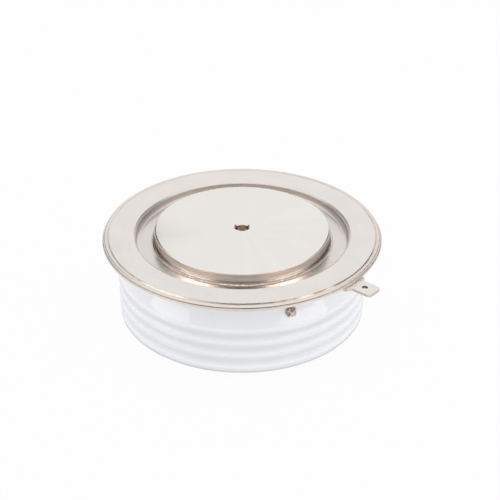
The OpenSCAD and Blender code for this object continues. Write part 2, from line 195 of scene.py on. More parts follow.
# Group: marks of the lathe, rings that follow the radius on a face and the height on a wall, and a
# painted sheen in rays round the axis
lathe_marks, given, wanted = new_group(
    "lathe marks", {"Spacing": 0.3 * mm}, ["Rings", "Bands", "Radius", "Painted Sheen"])
place = add(lathe_marks, "TexCoord").outputs["Object"]
flat = add(lathe_marks, "VectorMath", {0: place, 1: (1, 1, 0)}, operation="MULTIPLY").outputs[0]
radius = add(lathe_marks, "VectorMath", {0: flat}, operation="LENGTH").outputs["Value"]
height = add(lathe_marks, "SeparateXYZ", {0: place}).outputs["Z"]
feed = sums(lathe_marks, "DIVIDE", sums(lathe_marks, "ADD", radius, height), given["Spacing"])
rings = add(lathe_marks, "TexNoise", {"W": feed, "Scale": 1.0, "Detail": 2.0}, noise_dimensions="1D")
bands = add(lathe_marks, "TexNoise", {"W": feed, "Scale": 0.12, "Detail": 1.0}, noise_dimensions="1D")
way = add(lathe_marks, "VectorMath", {0: flat}, operation="NORMALIZE").outputs[0]
painted_sheen_rays = noise(lathe_marks, way, 5.0, detail=5.0, roughness=0.6)
marks = {"Rings": rings.outputs["Fac"], "Bands": bands.outputs["Fac"], "Radius": radius, "Painted Sheen": painted_sheen_rays}
for socket, value in marks.items():
    lathe_marks.links.new(value, wanted[socket])

# Group: bloom of the plating, soft clouds and a sparse scatter of small dark specks
plating_bloom, given, wanted = new_group(
    "plating bloom", {"Clouds": 90.0, "Specks": 700.0}, ["Cloud", "Speck"])
place = add(plating_bloom, "TexCoord").outputs["Object"]
cloud = noise(plating_bloom, place, given["Clouds"], detail=4.0)
cells = add(plating_bloom, "TexVoronoi", {"Vector": place, "Scale": given["Specks"]})
dot = scaled(plating_bloom, cells.outputs["Distance"], 0.05, 0.16, 1.0, 0.0)
lot = add(plating_bloom, "SeparateColor", {0: cells.outputs["Color"]}).outputs[0]
chosen = scaled(plating_bloom, lot, 0.86, 0.9)
plating_bloom.links.new(scaled(plating_bloom, cloud, 0.3, 0.7), wanted["Cloud"])
plating_bloom.links.new(sums(plating_bloom, "MULTIPLY", dot, chosen), wanted["Speck"])


def turned_nickel(name, bright, dull, roughness, spacing):
    """Nickel plating on turned copper: a satin face with a painted sheen in rays, and painted shade in
    the bore and on the side wall.
    """
    material, tree, shader = new_finish(name)
    marks = placed(tree, lathe_marks, spacing=spacing)
    bloom = placed(tree, plating_bloom)
    # Painted sheen: rays round the axis shift the colour between its bright and dull tones, as a turned
    # face's sheen would.
    shade = tinted(tree, scaled(tree, marks["Painted Sheen"], 0.35, 0.65, 0.0, 0.4), bright, dull)
    shade = tinted(tree, scaled(tree, bloom["Cloud"], 0, 1, 0.0, 0.35), shade, dull)
    shade = tinted(tree, scaled(tree, marks["Rings"], 0.35, 0.65, 0.0, 0.06), shade, dull)
    # Painted shade: the centring hole's wall goes over to a dark brown, where the hole lies in shade.
    bore_mouth = centring_radius + 0.1 * mm
    painted_bore_shade = scaled(tree, marks["Radius"], centring_radius, bore_mouth, 0.55, 0.0)
    shade = tinted(tree, painted_bore_shade, shade, (0.42, 0.30, 0.23))
    # Painted shade: the pole's side wall is tinted brown, standing in for its dark reflections.
    wall_start, wall_full = contact_radius - 0.15 * mm, contact_radius - 0.02 * mm
    painted_wall_shade = scaled(tree, marks["Radius"], wall_start, wall_full, 0.0, 0.6)
    shade = tinted(tree, painted_wall_shade, shade, (0.70, 0.585, 0.515))
    tree.links.new(shade, shader.inputs["Base Color"])
    worn = sums(tree, "ADD", scaled(tree, marks["Bands"], 0.3, 0.7, -0.02, 0.02), roughness)
    tree.links.new(worn, shader.inputs["Roughness"])
    bump = add(tree, "Bump", {"Strength": 0.1, "Distance": 0.002 * mm, "Height": marks["Rings"]})
    tree.links.new(bump.outputs[0], shader.inputs["Normal"])
    shader.inputs["Metallic"].default_value = 1.0
    shader.inputs["Anisotropic"].default_value = 0.6
    shader.inputs["Anisotropic Rotation"].default_value = 0.25
    around = add(tree, "Tangent", direction_type="RADIAL", axis="Z")
    tree.links.new(around.outputs[0], shader.inputs["Tangent"])
    return material


contact_nickel = turned_nickel(
    "contact nickel",
    bright=(0.84, 0.812, 0.775),
    dull=(0.79, 0.765, 0.73),
    roughness=0.24,
    spacing=0.6 * mm,
)


def seated(piece, node, material):
    """Gives a piece its material and puts it in place of its node on the capsule."""
    piece.data.materials.clear()
    piece.data.materials.append(material)
    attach(piece, "root")
    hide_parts(node)


anode_slug = turned(
    "anode_slug",
    centring_hole(anode_face, 1) + contact_edge(anode_face, 1) + [
        (contact_radius, ceramic_base),
        (pole_radius, ceramic_base),
        (pole_radius, anode_top - inner_chamfer),
        (pole_radius - inner_chamfer, anode_top),
        (0, anode_top),
    ],
)
seated(anode_slug, "anode_pole", contact_nickel)

# Anode flange and its braze: a flat ring blanked from plated copper sheet closes the capsule below.
# It is brazed to the pole's shoulder and to the ceramic. A fillet of braze runs round the pole's foot.
braze_gap = 0.05 * mm
blank_round = 0.15 * mm
toe_thinness = 2.6
flange_low, flange_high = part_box("anode_flange")
braze_low, braze_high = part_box("anode_braze_ring")


def rounded_corner(corner, radius, start):
    """A small round at a right-angled corner of an outline, over 90 degrees from its start."""
    middle = math.radians(start + 45)
    inset = radius * math.sqrt(2)
    centre = (corner[0] - inset * math.cos(middle), corner[1] - inset * math.sin(middle))
    return arc(centre, radius, start, start + 90, steps=4)


def fillet(sheet, width, rise, steps=16):
    """Half section of a fillet of braze between a sheet and the pole, with thin toes on both."""
    foot = contact_radius + braze_gap
    shares = [i / steps for i in range(steps + 1)]
    face = [(foot + width * (1 - s) ** toe_thinness, sheet + rise * s ** toe_thinness) for s in shares]
    return [(foot, sheet)] + face


anode_sheet = turned(
    "anode_sheet",
    [(contact_radius + braze_gap, flange_high.z), (contact_radius + braze_gap, flange_low.z)]
    + rounded_corner((flange_high.x, flange_low.z), blank_round, -90)
    + rounded_corner((flange_high.x, flange_high.z), blank_round, 0),
)
anode_fillet = turned(
    "anode_fillet",
    fillet(braze_high.z, braze_high.x - contact_radius - braze_gap, braze_low.z - braze_high.z),
)


def sheet_nickel(name, bright, dull):
    """Nickel plating on rolled copper sheet, with faint clouds and specks, to be given its roughness."""
    material, tree, shader = new_finish(name)
    bloom = placed(tree, plating_bloom, clouds=130.0, specks=900.0)
    shade = tinted(tree, scaled(tree, bloom["Cloud"], 0, 1, 0.0, 0.7), bright, dull)
    shade = tinted(tree, scaled(tree, bloom["Speck"], 0, 1, 0.0, 0.15), shade, (0.5, 0.43, 0.39))
    place = add(tree, "TexCoord").outputs["Object"]
    grain = noise(tree, place, 4000.0, detail=2.0)
    bump = add(tree, "Bump", {"Strength": 0.15, "Distance": 0.002 * mm, "Height": grain})
    tree.links.new(bump.outputs[0], shader.inputs["Normal"])
    shader.inputs["Metallic"].default_value = 1.0
    return material, tree, shader, shade, bloom["Cloud"]


anode_nickel, tree, shader, shade, cloud = sheet_nickel(
    "anode sheet nickel", bright=(0.80, 0.765, 0.735), dull=(0.74, 0.70, 0.665))
tree.links.new(shade, shader.inputs["Base Color"])
tree.links.new(scaled(tree, cloud, 0, 1, 0.21, 0.28), shader.inputs["Roughness"])


def uneven_braze(name, sheet):
    """Plated silver-copper braze, darkened by painted shade, with brown patches, and bumped beads in its
    corner at the sheet's height that carry a painted glint.
    """
    # Painted shade: both braze tones are dark, for the corner at the pole's foot; the brown patches are
    # the braze's own.
    bright, brown, painted_bead_glint = (0.62, 0.55, 0.50), (0.44, 0.36, 0.31), (0.95, 0.92, 0.88)
    material, tree, shader = new_finish(name)
    place = add(tree, "TexCoord").outputs["Object"]
    edge = placed(tree, lathe_marks)["Radius"]
    flow = noise(tree, place, 500.0, detail=4.0, roughness=0.65)
    beads = add(tree, "TexVoronoi", {"Vector": place, "Scale": 1100.0}).outputs["Distance"]
    level = add(tree, "SeparateXYZ", {0: place}).outputs["Z"]
    rise = sums(tree, "ABSOLUTE", sums(tree, "SUBTRACT", level, sheet))
    corner = sums(tree, "MAXIMUM", sums(tree, "SUBTRACT", edge, contact_radius), rise)
    # The beads are bumped, and painted with a bright glint.
    bead_bumps_and_glints = scaled(tree, corner, 0.22 * mm, 0.32 * mm, 1.0, 0.0)
    bead_bumps_and_glints = sums(tree, "MULTIPLY", bead_bumps_and_glints, scaled(tree, beads, 0.2, 0.5, 1.0, 0.0))
    shade = tinted(tree, scaled(tree, flow, 0.4, 0.7, 0.0, 0.5), bright, brown)
    shade = tinted(tree, bead_bumps_and_glints, shade, painted_bead_glint)
    tree.links.new(shade, shader.inputs["Base Color"])
    tree.links.new(scaled(tree, flow, 0.3, 0.7, 0.18, 0.28), shader.inputs["Roughness"])
    bump = add(tree, "Bump", {"Strength": 0.6, "Distance": 0.04 * mm, "Height": bead_bumps_and_glints})
    tree.links.new(bump.outputs[0], shader.inputs["Normal"])
    shader.inputs["Metallic"].default_value = 1.0
    return material


anode_braze = uneven_braze("anode braze", braze_high.z)
seated(anode_sheet, "anode_flange", anode_nickel)
seated(anode_fillet, "anode_braze_ring", anode_braze)

# Ceramic housing: a ring of white alumina, pressed, fired and glazed, with a plain band above and
# round ribs below that lengthen the path over its surface. A hole in the band takes the gate tube,
# and its ends are metallised and brazed to the flanges.
gate = next(m for m in frame["record"]["mounts"] if m["name"] == "gate_crimp")
gate_tip = Vector(gate["pos_m"])
gate_way = Vector(gate["axis"])
gate_radius = 1.35 * mm
ceramic_low, ceramic_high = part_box("ceramic_housing")
crest_radius = ceramic_high.x
bore_radius = 30.2 * mm
bore_chamfer = 0.3 * mm
top_round = 0.8 * mm
groove_count = 4
rib_pitch = 3.65 * mm
groove_depth = 0.45 * mm
groove_round = 1.65 * mm
groove_rise = 1.0 * mm
foot_chamfer = 0.2 * mm
drill_overrun = 2 * mm
rib_span = ((rib_pitch / 2) ** 2 + groove_depth ** 2) / (2 * groove_depth)
rib_round = rib_span - groove_round
rib_centre = crest_radius - rib_round
rib_sweep = math.degrees(math.asin(rib_pitch / 2 / rib_span))
groove_centre = crest_radius - groove_depth + groove_round
foot_angle = math.degrees(math.asin((foot_chamfer + rib_pitch / 2 - groove_rise) / rib_round))


def ceramic_section():
    """Half section of the ceramic: foot, grooves and ribs that run into each other, band and bore."""
    lowest = ceramic_low.z + groove_rise
    foot = arc((rib_centre, lowest - rib_pitch / 2), rib_round, foot_angle, rib_sweep, 2)
    section = [(foot[0][0] - foot_chamfer, ceramic_low.z)] + foot
    for i in range(groove_count):
        groove = lowest + i * rib_pitch
        rib_end = rib_sweep if i < groove_count - 1 else 0
        section += arc((groove_centre, groove), groove_round, 180 + rib_sweep, 180 - rib_sweep, 14)
        section += arc((rib_centre, groove + rib_pitch / 2), rib_round, -rib_sweep, rib_end, 18)
    section += arc((crest_radius - top_round, ceramic_high.z - top_round), top_round, 0, 90)
    return section + [
        (bore_radius + bore_chamfer, ceramic_high.z),
        (bore_radius, ceramic_high.z - bore_chamfer),
        (bore_radius, ceramic_low.z + bore_chamfer),
        (bore_radius + bore_chamfer, ceramic_low.z),
    ]


def rod(name, start, end, radius, sides=64):
    """A plain rod between two points, for cutting or for shaping further."""
    bpy.ops.object.select_all(action="DESELECT")
    turn = (end - start).to_track_quat("Z", "Y").to_euler()
    middle = (start + end) / 2
    bpy.ops.mesh.primitive_cylinder_add(
        vertices=sides, radius=radius, depth=(end - start).length, location=middle, rotation=turn)
    bpy.context.object.name = name
    bpy.ops.object.transform_apply(location=True, rotation=True, scale=True)
    return bpy.context.object


def cut(piece, cutter):
    """Cuts a tool out of a piece, and takes the tool away."""
    bpy.ops.object.select_all(action="DESELECT")
    bpy.context.view_layer.objects.active = piece
    piece.select_set(True)
    tool = piece.modifiers.new("cut", "BOOLEAN")
    tool.operation, tool.solver, tool.object = "DIFFERENCE", "EXACT", cutter
    bpy.ops.object.modifier_apply(modifier=tool.name)
    bpy.data.objects.remove(cutter)
    bpy.ops.object.shade_smooth_by_angle(angle=smooth_angle)


ceramic_ring = turned("ceramic_ring", ceramic_section())
gate_seat = gate_tip - gate_way * (gate_tip.xy.length - bore_radius + drill_overrun)
cut(ceramic_ring, rod("gate_drill", gate_seat, gate_tip, gate_radius + braze_gap))

glaze, tree, shader = new_finish("white glaze")
place = add(tree, "TexCoord").outputs["Object"]
cloud = noise(tree, place, 60.0, detail=3.0)
cells = add(tree, "TexVoronoi", {"Vector": place, "Scale": 420.0})
pinhole = scaled(tree, cells.outputs["Distance"], 0.02, 0.09, 1.0, 0.0)
lot = add(tree, "SeparateColor", {0: cells.outputs["Color"]}).outputs[1]
pinhole = sums(tree, "MULTIPLY", pinhole, scaled(tree, lot, 0.9, 0.93))
white = tinted(tree, scaled(tree, cloud, 0.3, 0.7), (0.86, 0.868, 0.905), (0.88, 0.887, 0.92))
white = tinted(tree, scaled(tree, pinhole, 0, 1, 0, 0.35), white, (0.55, 0.53, 0.52))
level = add(tree, "SeparateXYZ", {0: place}).outputs["Z"]
# Painted shade: the lowest half millimetre of the glaze darkens to grey, a contact shadow at the foot.
foot_shade_full, foot_shade_end = ceramic_low.z + 0.2 * mm, ceramic_low.z + 0.7 * mm
painted_foot_shade = scaled(tree, level, foot_shade_full, foot_shade_end, 0.7, 0.0)
white = tinted(tree, painted_foot_shade, white, (0.55, 0.555, 0.57))
tree.links.new(white, shader.inputs["Base Color"])
tree.links.new(scaled(tree, cloud, 0.3, 0.7, 0.05, 0.09), shader.inputs["Roughness"])
ripple = noise(tree, place, 170.0, detail=2.0, roughness=0.4)
bump = add(tree, "Bump", {"Strength": 0.4, "Distance": 0.06 * mm, "Height": ripple})
tree.links.new(bump.outputs[0], shader.inputs["Normal"])
shader.inputs["IOR"].default_value = 1.55
seated(ceramic_ring, "ceramic_housing", glaze)

# Gate terminal: a thin nickel-iron tube that is brazed into the hole in the ceramic.
# Four jaws have pinched it shut on the lead, so its end is a cross with hollows between the arms.
tube_wall = 0.35 * mm
tube_tail = 0.7 * mm
crimp_length = 1.0 * mm
crimp_ramp = 0.6 * mm
crimp_core = 0.3 * mm
jaw_width = 2 * gate_radius
crimp_round = 0.06 * mm
bore_overrun = 1 * mm
tube_start = gate_tip - gate_way * (gate_tip.xy.length - bore_radius + tube_tail)
crimp_start = gate_tip - gate_way * crimp_length
pinched_start = crimp_start + gate_way * crimp_ramp


def jaw(turn, length, tilt=None):
    """Edge of a crimping jaw: a square bar out from the ramp's end or, tilted, back up the ramp."""
    side = Vector((-gate_way.y, gate_way.x, 0))
    out = side * math.cos(turn) + Vector((0, 0, 1)) * math.sin(turn)
    along, lift = gate_way, out
    if tilt is not None:
        along = -gate_way * math.cos(tilt) + out * math.sin(tilt)
        lift = out * math.cos(tilt) + gate_way * math.sin(tilt)
    edge = pinched_start + out * crimp_core
    across = along.cross(lift)
    one_face, other_face = (lift + across).normalized(), (lift - across).normalized()
    bpy.ops.object.select_all(action="DESELECT")
    bpy.ops.mesh.primitive_cube_add(size=1)
    bar = bpy.context.object
    for point in bar.data.vertices:
        share = point.co + Vector((0.5, 0.5, 0.5))
        corner = edge + one_face * share.x * jaw_width + other_face * share.y * jaw_width
        point.co = corner + along * share.z * length
    bpy.ops.object.mode_set(mode="EDIT")
    bpy.ops.mesh.normals_make_consistent(inside=False)
    bpy.ops.object.mode_set(mode="OBJECT")
    return bar


gate_stub = rod("gate_stub", tube_start, gate_tip, gate_radius, sides=72)
bore_start = tube_start - gate_way * bore_overrun
cut(gate_stub, rod("tube_bore", bore_start, crimp_start, gate_radius - tube_wall))
ramp_tilt = math.atan((gate_radius - crimp_core) / crimp_ramp)
for quarter in range(4):
    jaw_turn = math.pi / 2 * quarter
    cut(gate_stub, jaw(jaw_turn, 2 * crimp_length))
    cut(gate_stub, jaw(jaw_turn, 3 * crimp_length, ramp_tilt))


def softened(piece, width, angle=35, segments=2):
    """Rounds the sharp edges of a piece a little."""
    bpy.ops.object.select_all(action="DESELECT")
    bpy.context.view_layer.objects.active = piece
    piece.select_set(True)
    edge = piece.modifiers.new("soft edges", "BEVEL")
    edge.width, edge.segments, edge.limit_method = width, segments, "ANGLE"
    edge.angle_limit = math.radians(angle)
    edge.use_clamp_overlap = True
    bpy.ops.object.modifier_apply(modifier=edge.name)
    bpy.ops.object.shade_smooth_by_angle(angle=math.radians(angle))


softened(gate_stub, crimp_round)

gate_metal, tree, shader = new_finish("crimped gate metal")
place = add(tree, "TexCoord").outputs["Object"]
scuff = noise(tree, place, 1800.0, detail=4.0, roughness=0.7)
shade = tinted(tree, scaled(tree, scuff, 0.35, 0.65), (0.34, 0.28, 0.25), (0.62, 0.54, 0.49))
tree.links.new(shade, shader.inputs["Base Color"])
tree.links.new(scaled(tree, scuff, 0.3, 0.7, 0.28, 0.45), shader.inputs["Roughness"])
bump = add(tree, "Bump", {"Strength": 0.5, "Distance": 0.02 * mm, "Height": scuff})
tree.links.new(bump.outputs[0], shader.inputs["Normal"])
shader.inputs["Metallic"].default_value = 1.0
seated(gate_stub, "gate_tube", gate_metal)

# Weld flange: a ring of plated copper sheet, brazed to the metallised top of the ceramic.
# Its overhanging edge is the lower half of the rim, and the lid is cold-welded onto it.
weld_low, weld_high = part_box("weld_flange")
rim_radius = weld_high.x
weld_edge = (weld_high.z - weld_low.z) / 2
weld_ring = turned(
    "weld_ring",
    [(bore_radius, weld_high.z), (bore_radius, weld_low.z)]
    + arc((rim_radius - weld_edge, weld_low.z + weld_edge), weld_edge, -90, 90, 24),
)
lid_flat_radius = 35.7 * mm
groove_width = 0.15 * mm


def welded_nickel(name):
    """Sheet nickel with an outer band that the weld tool squeezed, so that copper shows through, and
    painted shade in the seam, under the rim and in the well.
    """
    material, tree, shader, shade, _ = sheet_nickel(
        name, bright=(0.80, 0.765, 0.735), dull=(0.75, 0.71, 0.68))
    place = add(tree, "TexCoord").outputs["Object"]
    sideways = add(tree, "SeparateXYZ", {0: place}).outputs["X"]
    height = add(tree, "SeparateXYZ", {0: place}).outputs["Z"]
    radius = placed(tree, lathe_marks)["Radius"]
    squeezed = scaled(tree, radius, lid_flat_radius - 0.1 * mm, lid_flat_radius + 0.2 * mm)
    patchy = noise(tree, place, 260.0, detail=4.0, roughness=0.6)
    stretch = noise(tree, place, 45.0, detail=2.0)
    copper = tinted(tree, scaled(tree, patchy, 0.35, 0.65), (0.77, 0.705, 0.655), (0.78, 0.74, 0.705))
    shade = tinted(tree, squeezed, shade, copper)
    beside = sums(tree, "SUBTRACT", radius, lid_flat_radius + groove_width)
    beside = sums(tree, "ABSOLUTE", beside)
    blush = sums(tree, "MULTIPLY", scaled(tree, beside, 0.1 * mm, 0.5 * mm, 0.3, 0.0), squeezed)
    shade = tinted(tree, blush, shade, (0.81, 0.67, 0.58))
    # Darker brown along the weld groove, in patches, and stronger towards +X.
    groove_darkening = scaled(tree, beside, 0.12 * mm, 0.3 * mm, 0.95, 0.0)
    groove_darkening = sums(tree, "MULTIPLY", groove_darkening, scaled(tree, sideways, 0.0, 22 * mm, 0.4, 1.0))
    groove_darkening = sums(tree, "MULTIPLY", groove_darkening, scaled(tree, stretch, 0.4, 0.6, 0.3, 1.0))
    groove_darkening = sums(tree, "MULTIPLY", groove_darkening, scaled(tree, patchy, 0.42, 0.55, 0.4, 1.0))
    shade = tinted(tree, groove_darkening, shade, (0.32, 0.19, 0.13))
    level = sums(tree, "SUBTRACT", height, weld_high.z)
    # Painted shade: the open seam is darkened in patches, only where X is near zero.
    painted_seam_shade = scaled(tree, sums(tree, "ABSOLUTE", level), 0.04 * mm, 0.15 * mm, 0.7, 0.0)
    painted_seam_shade = sums(tree, "MULTIPLY", painted_seam_shade, scaled(tree, patchy, 0.4, 0.6, 0.2, 1.0))
    in_front = scaled(tree, sums(tree, "ABSOLUTE", sideways), 7 * mm, 17 * mm, 1.0, 0.0)
    painted_seam_shade = sums(tree, "MULTIPLY", sums(tree, "MULTIPLY", painted_seam_shade, squeezed), in_front)
    shade = tinted(tree, painted_seam_shade, shade, (0.26, 0.18, 0.13))
    # Painted shade: the squeezed band just below the weld level is darker, under the rim.
    painted_underside_shade = scaled(tree, level, -0.1 * mm, 0.0, 0.8, 0.0)
    shade = tinted(tree, sums(tree, "MULTIPLY", painted_underside_shade, squeezed), shade, (0.68, 0.60, 0.55))
    # Painted shade: the lid's well, from 1.4 mm below the weld level down, is tinted darker.
    floor_level, wall_level = -1.85 * mm, -1.4 * mm
    painted_well_shade = scaled(tree, level, floor_level, wall_level, 0.8, 0.0)
    shade = tinted(tree, painted_well_shade, shade, (0.71, 0.668, 0.635))
    tree.links.new(shade, shader.inputs["Base Color"])
    satin = scaled(tree, squeezed, 0, 1, 0.27, 0.36)
    satin = sums(tree, "ADD", satin, scaled(tree, patchy, 0.3, 0.7, 0.0, 0.05))
    tree.links.new(satin, shader.inputs["Roughness"])
    return material


weld_nickel = welded_nickel("welded sheet nickel")
seated(weld_ring, "weld_flange", weld_nickel)

# Auxiliary cathode tab: a flat blade with a hole, blanked from nickel-plated strip.
# Its wide foot is spot-welded under the rim, and a receptacle is pushed onto the blade.
blade = next(m for m in frame["record"]["mounts"] if m["name"] == "auxiliary_cathode_blade")
eye = next(m for m in frame["record"]["mounts"] if m["name"] == "auxiliary_cathode_hole")
tab_low, tab_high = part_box("auxiliary_cathode_tab")
blade_way = Vector(blade["axis"])
blade_tip = Vector(blade["pos_m"]).xy.length
blade_half = 2.4 * mm
blade_corner = 0.9 * mm
tab_foot_half = 3.8 * mm
tab_foot_start = rim_radius - 2.6 * mm
tab_foot_end = rim_radius + 0.15 * mm
tab_fillet = 1.2 * mm
burr = 0.07 * mm
punch_stroke = 1 * mm


def tab_outline():
    """Outline of the blank with its tip along X: foot, fillets, blade and rounded tip."""
    root = tab_foot_end + tab_fillet
    tip = blade_tip - blade_corner
    return (
        [(tab_foot_start, -tab_foot_half), (tab_foot_end, -tab_foot_half)]
        + arc((root, -blade_half - tab_fillet), tab_fillet, 180, 90)
        + arc((tip, blade_corner - blade_half), blade_corner, -90, 0)
        + arc((tip, blade_half - blade_corner), blade_corner, 0, 90)
        + arc((root, blade_half + tab_fillet), tab_fillet, 270, 180)
        + [(tab_foot_end, tab_foot_half), (tab_foot_start, tab_foot_half)]
    )


blade_turn = math.atan2(blade_way.y, blade_way.x)
cosine, sine = math.cos(blade_turn), math.sin(blade_turn)
tab_blank = chain(
    "tab_blank",
    [Vector((x * cosine - y * sine, x * sine + y * cosine, tab_low.z)) for x, y in tab_outline()],
)
bpy.ops.mesh.select_all(action="SELECT")
bpy.ops.mesh.edge_face_add()
bpy.ops.mesh.extrude_region_move(TRANSFORM_OT_translate={"value": (0, 0, tab_high.z - tab_low.z)})
close_up(tab_blank)
eye_at = Vector(eye["pos_m"])
eye_radius = eye["dims"]["r_mm"] * mm
punch = Vector((0, 0, punch_stroke))
cut(tab_blank, rod("tab_punch", eye_at - punch, eye_at + punch, eye_radius, sides=48))
softened(tab_blank, burr)

tab_metal, tree, shader = new_finish("tab nickel")
place = add(tree, "TexCoord").outputs["Object"]
bloom = placed(tree, plating_bloom, clouds=220.0, specks=1100.0)
strip_grain = {"Vector": place, "Rotation": (0, 0, -blade_turn), "Scale": (250, 5000, 5000)}
along_blade = add(tree, "Mapping", strip_grain).outputs[0]
rolled = noise(tree, along_blade, 1.0, detail=2.0)
shade = tinted(tree, bloom["Cloud"], (0.86, 0.81, 0.765), (0.81, 0.76, 0.715))
shade = tinted(tree, scaled(tree, rolled, 0.35, 0.65, 0.0, 0.35), shade, (0.80, 0.745, 0.70))
shade = tinted(tree, scaled(tree, bloom["Speck"], 0, 1, 0, 0.4), shade, (0.38, 0.31, 0.27))
# The blank's upright faces are darker than its flat sides.
facing = add(tree, "NewGeometry").outputs["Normal"]
flat_side = sums(tree, "ABSOLUTE", add(tree, "SeparateXYZ", {0: facing}).outputs["Z"])
upright_face_darkening = scaled(tree, flat_side, 0.3, 0.8, 0.8, 0.0)
shade = tinted(tree, upright_face_darkening, shade, (0.50, 0.44, 0.39))
eye_axis = (eye_at.x, eye_at.y, 0)
from_eye = add(tree, "VectorMath", {0: place, 1: eye_axis}, operation="SUBTRACT").outputs[0]
from_eye = add(tree, "VectorMath", {0: from_eye, 1: (1, 1, 0)}, operation="MULTIPLY").outputs[0]
from_eye = add(tree, "VectorMath", {0: from_eye}, operation="LENGTH").outputs["Value"]
# Painted shade: the eye's wall and a thin ring round it turn nearly black, standing in for the shade
# inside the hole.
painted_eye_shade = scaled(tree, from_eye, eye_radius + 0.02 * mm, eye_radius + 0.08 * mm, 0.95, 0.0)
shade = tinted(tree, painted_eye_shade, shade, (0.14, 0.10, 0.08))
tree.links.new(shade, shader.inputs["Base Color"])
tree.links.new(scaled(tree, rolled, 0.3, 0.7, 0.30, 0.42), shader.inputs["Roughness"])
bump = add(tree, "Bump", {"Strength": 0.4, "Distance": 0.003 * mm, "Height": rolled})
tree.links.new(bump.outputs[0], shader.inputs["Normal"])
shader.inputs["Metallic"].default_value = 1.0
seated(tab_blank, "auxiliary_cathode_tab", tab_metal)

# Semiconductor element: the silicon wafer on its molybdenum disc, with a bead of red rubber cast on
# its bevelled edge, a second molybdenum disc above it, and a fluoropolymer ring that keeps it central.
# All of it lies dry between the poles, and only the clamp's pressure makes the contact.


def inner_finish(name, light, dark, roughness, metallic, waves, depth, rings=0.0):
    """Finish of an inner piece: two tones, as fine as its material's grain, and lathe rings."""
    material, tree, shader = new_finish(name)
    place = add(tree, "TexCoord").outputs["Object"]
    grain = noise(tree, place, waves, detail=4.0)
    marks = placed(tree, lathe_marks, spacing=0.35 * mm)
    shade = tinted(tree, scaled(tree, grain, 0.35, 0.65), light, dark)
    shade = tinted(tree, scaled(tree, marks["Rings"], 0.35, 0.65, 0.0, rings), shade, dark)
    tree.links.new(shade, shader.inputs["Base Color"])
    worn = scaled(tree, grain, 0.3, 0.7, roughness - 0.05, roughness + 0.07)
    tree.links.new(worn, shader.inputs["Roughness"])
    bump = add(tree, "Bump", {"Strength": 0.4, "Distance": depth, "Height": grain})
    tree.links.new(bump.outputs[0], shader.inputs["Normal"])
    shader.inputs["Metallic"].default_value = metallic
    return material


def dressed(material, *nodes):
    """Puts a finish on nodes that keep their own shape."""
    for name in nodes:
        for material_slot in frame["nodes"][name].material_slots:
            material_slot.material = material


ground_molybdenum = inner_finish(
    "ground molybdenum", (0.44, 0.45, 0.47), (0.36, 0.37, 0.39),
    roughness=0.36, metallic=1.0, waves=1500.0, depth=0.004 * mm, rings=0.3)
polished_silicon = inner_finish(
    "polished silicon", (0.27, 0.30, 0.36), (0.22, 0.25, 0.30),
    roughness=0.12, metallic=1.0, waves=300.0, depth=0.001 * mm)
edge_rubber = inner_finish(
    "edge rubber", (0.45, 0.11, 0.08), (0.36, 0.08, 0.06),
    roughness=0.55, metallic=0.0, waves=900.0, depth=0.02 * mm)
turned_fluoropolymer = inner_finish(
    "turned fluoropolymer", (0.88, 0.87, 0.83), (0.82, 0.81, 0.77),
    roughness=0.48, metallic=0.0, waves=500.0, depth=0.006 * mm, rings=0.4)
dressed(ground_molybdenum, "anode_molybdenum_disc", "cathode_molybdenum_disc")
dressed(polished_silicon, "silicon_wafer")
dressed(edge_rubber, "wafer_edge_rubber")
dressed(turned_fluoropolymer, "locating_ring")

# Gate contact: a gold-coloured pin that a coil spring presses on the middle of the wafer, in a cup
# that insulates it from the cathode pole. A copper wire in a sleeve leads from the pin to the gate tube.
pin_plating = inner_finish(
    "pin plating", (0.76, 0.61, 0.32), (0.66, 0.52, 0.27),
    roughness=0.24, metallic=1.0, waves=1200.0, depth=0.003 * mm, rings=0.3)
spring_wire = inner_finish(
    "spring wire", (0.55, 0.56, 0.58), (0.43, 0.44, 0.46),
    roughness=0.28, metallic=1.0, waves=2200.0, depth=0.004 * mm)
lead_wire = inner_finish(
    "lead wire", (0.74, 0.45, 0.28), (0.60, 0.34, 0.20),
    roughness=0.30, metallic=1.0, waves=1800.0, depth=0.004 * mm)
dressed(pin_plating, "gate_pin")
dressed(spring_wire, "gate_spring")
dressed(lead_wire, "gate_lead")
dressed(turned_fluoropolymer, "gate_insulator_cup", "gate_lead_sleeve")

# Cathode pole: the upper contact, turned and plated like the lower one, with the same centring hole.
# A blind bore from below holds the gate contact, and a slot lets its lead out to the side.
cathode_low, cathode_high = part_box("cathode_pole")
lid_low, lid_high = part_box("cathode_lid")
gate_bore_radius = 4.0 * mm
gate_bore_roof = 2.5 * mm
gate_bore_top = cathode_high.z - centring_depth - gate_bore_roof
slot_width = 2.06 * mm
slot_height = 2.21 * mm
slot_overrun = 1 * mm
slot_length = pole_radius + slot_overrun

cathode_slug = turned(
    "cathode_slug",
    centring_hole(cathode_high.z, -1) + contact_edge(cathode_high.z, -1) + [
        (contact_radius, lid_low.z),
        (pole_radius, lid_low.z),
        (pole_radius, cathode_low.z + inner_chamfer),
        (pole_radius - inner_chamfer, cathode_low.z),
        (gate_bore_radius, cathode_low.z),
        (gate_bore_radius, gate_bore_top),
        (0, gate_bore_top),
    ],
)
bpy.ops.object.select_all(action="DESELECT")
slot_middle = cathode_low.z + (slot_height - slot_overrun) / 2
bpy.ops.mesh.primitive_cube_add(
    size=1,
    scale=(slot_length, slot_width, slot_height + slot_overrun),
    location=gate_way * slot_length / 2 + Vector((0, 0, slot_middle)),
    rotation=(0, 0, math.atan2(gate_way.y, gate_way.x)),
)
slot_mill = bpy.context.object
bpy.ops.object.transform_apply(location=True, rotation=True, scale=True)
cut(cathode_slug, slot_mill)
seated(cathode_slug, "cathode_pole", contact_nickel)

